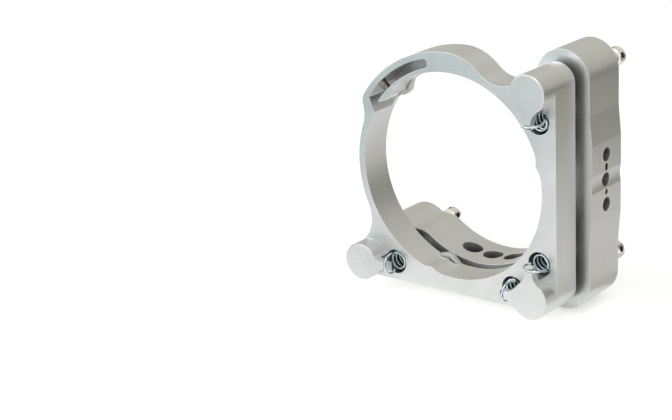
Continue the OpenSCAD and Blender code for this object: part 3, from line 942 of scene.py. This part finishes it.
CARDS = (
    # Four bands, one above the other, shade the plates' right sides from foot to top.
    Card("right_rear_foot", RIGHT_REAR, 0.5, 0.045, "a4a295"),
    Card("right_rear_band", RIGHT_REAR, 0.5, 0.055, "848279", raised=0.045),
    Card("right_rear_high", RIGHT_REAR, 0.6, 0.06, "ccc6bf", raised=0.10),
    Card("right_rear_top", RIGHT_REAR, 0.6, 0.16, "d9d5c9", raised=0.16),
    # One stands far behind on the left, and one close by in front on the left.
    Card("back_left_card", (-0.45, 0.6), 1.4, 0.9, "d1ccc1"),
    Card("front_left_card", (-0.12, -0.09), 0.26, 0.13, "b5c4c9"),
    # These lie on the floor in front, behind, and by the foot of the right side, and
    # faces near the floor mirror them.
    Card("front_sheet", (-0.02, -0.035), 0.22, 0.14, "ffffff", lean_deg=89),
    Card("behind_sheet", (0.03, 0.07), 0.34, 0.2, "e7e3e0", lean_deg=89),
    Card("right_sheet", (0.053, 0.03), 0.1, 0.02, "cdcac3", lean_deg=89),
)


@dataclass
class Studio:
    """White floor, soft lamps, reflecting cards and the camera.

    The camera stands at the azimuth and elevation below, round the target; focal length
    and centre are in pixels of the 672 by 420 frame. Other lengths are in metres, and
    room_light is the world's strength for the rays that don't see it as white.
    """

    azimuth_deg: float = 36.8006
    elevation_deg: float = 19.2273
    roll_deg: float = -2.0322
    distance: float = 0.6554623
    target: tuple[float, float, float] = (-0.0217804, 0.01, -0.0194876)
    focal_px: float = 1727.3548
    centre_px: tuple[float, float] = (420.0, 210.0)
    frame_px: tuple[int, int] = (672, 420)
    sensor_mm: float = 36.0
    clip: tuple[float, float] = (0.01, 20.0)
    room_light: float = 0.25
    floor_gap: float = 0.02 * MM
    floor_reach: float = 3.0
    floor_paper: str = "f4f4f2"
    floor_glow: str = "d4d4d4"

    def camera(self) -> None:
        """Makes the camera and turns it to look at the target, rolled about its view."""
        a, e = math.radians(self.azimuth_deg), math.radians(self.elevation_deg)
        back = Vector((math.sin(a) * math.cos(e), -math.cos(a) * math.cos(e), math.sin(e)))
        right = (-back).cross(Vector((0, 0, 1))).normalized()
        up = right.cross(-back)
        r = math.radians(self.roll_deg)
        side = math.cos(r) * right + math.sin(r) * up
        top = math.cos(r) * up - math.sin(r) * right
        data = bpy.data.cameras.new("camera")
        width, height = self.frame_px
        data.sensor_width = self.sensor_mm
        data.lens = self.focal_px * self.sensor_mm / width
        data.shift_x = (width / 2 - self.centre_px[0]) / width
        data.shift_y = (self.centre_px[1] - height / 2) / width
        data.clip_start, data.clip_end = self.clip
        camera = bpy.data.objects.new("camera", data)
        turn = Matrix((side, top, back)).transposed().to_4x4()
        camera.matrix_world = Matrix.Translation(
            Vector(self.target) + back * self.distance) @ turn
        bpy.context.scene.collection.objects.link(camera)
        bpy.context.scene.camera = camera

    def white_seen(self, tree: Tree) -> Socket:
        """Picks the rays that see the background white: camera, glossy and glass rays.

        Args:
            tree: the node tree that takes the nodes.

        Returns:
            A socket that is 1 for such a ray.
        """
        path = add(tree, "LightPath")
        both = add(tree, "Math", {0: path.outputs["Is Camera Ray"],
                                  1: path.outputs["Is Glossy Ray"]}, operation="MAXIMUM")
        return add(tree, "Math", {0: both.outputs["Value"],
                                  1: path.outputs["Is Transmission Ray"]},
                   operation="MAXIMUM").outputs["Value"]

    def world(self) -> None:
        """Lights the room evenly and shows it white to the rays that see it."""
        world = bpy.data.worlds.new("studio")
        world.cycles.sampling_method = "NONE"
        world.use_nodes = True
        tree = world.node_tree
        tree.nodes.clear()
        strength = add(tree, "MapRange", {"Value": self.white_seen(tree)},
                       {"To Min": self.room_light, "To Max": 1.0})
        lit = add(tree, "Background", {"Strength": strength.outputs["Result"]},
                  {"Color": linear("ffffff")})
        output = add(tree, "OutputWorld", {"Surface": lit.outputs["Background"]})
        output.is_active_output = True
        bpy.context.scene.world = world

    def floor(self) -> None:
        """Lays a wide white floor under the mount that keeps its soft shadow.

        It lies floor_gap below the mount, so that the two never fight for the same place.
        """
        low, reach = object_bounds()[0].z - self.floor_gap, self.floor_reach
        points = np.array([[-reach, -reach, low], [reach, -reach, low],
                           [reach, reach, low], [-reach, reach, low]])
        material, tree, output = blank_material("white_paper_floor")
        material.cycles.emission_sampling = "NONE"
        paper = add(tree, "BsdfDiffuse", sockets={"Color": linear(self.floor_paper)})
        glow = add(tree, "Emission", {"Strength": self.white_seen(tree)},
                   {"Color": linear(self.floor_glow)})
        both = add(tree, "AddShader", {0: paper.outputs["BSDF"],
                                       1: glow.outputs["Emission"]})
        tree.links.new(both.outputs["Shader"], output.inputs["Surface"])
        floor = mesh_piece("floor", points, [(0, 1, 2, 3)], material, FLAT_DEG)
        floor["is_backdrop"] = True

    def build(self) -> None:
        """Builds camera, lamps, cards, world and floor."""
        bpy.context.scene.view_settings.view_transform = "Standard"
        self.camera()
        for thing in (*LAMPS, *CARDS):
            thing.build()
        self.world()
        self.floor()


def main() -> None:
    """Builds the studio and dresses every sub-assembly of the mount, in order."""
    logging.basicConfig(level=logging.INFO, format="%(name)s: %(message)s")
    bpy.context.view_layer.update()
    Studio().build()
    steel = BlastedStainless().material()
    bright = TurnedStainless().material()
    hard, zinc = HARD_STEEL.material(), ZINC_WIRE.material()
    Plates(steel, hard, bright).dress()
    for corner in Corner:
        ScrewedAdjuster(corner, bright, hard).dress()
    springs = (
        ("spring_tr", "diagonal_link", "pitch_link", Corner.TR, 180, -1),
        ("spring_bl", "pitch_link", "front", Corner.BL, 90, -1),
        ("spring_br_up", "diagonal_link", "pitch_link", Corner.BR, 0, 1),
        ("spring_br_left", "base", "diagonal_link", Corner.BR, 270, 1),
    )
    for spring in springs:
        piece = ExtensionSpring(*spring, finish=zinc).build()
        LOG.info("wound %s: %d points", piece.name, len(piece.data.vertices))
    screw = FlexureSetscrew(SETSCREW_STEEL.material()).build()
    LOG.info("cut %s: %d points", screw.name, len(screw.data.vertices))


if __name__ == "__main__":
    main()
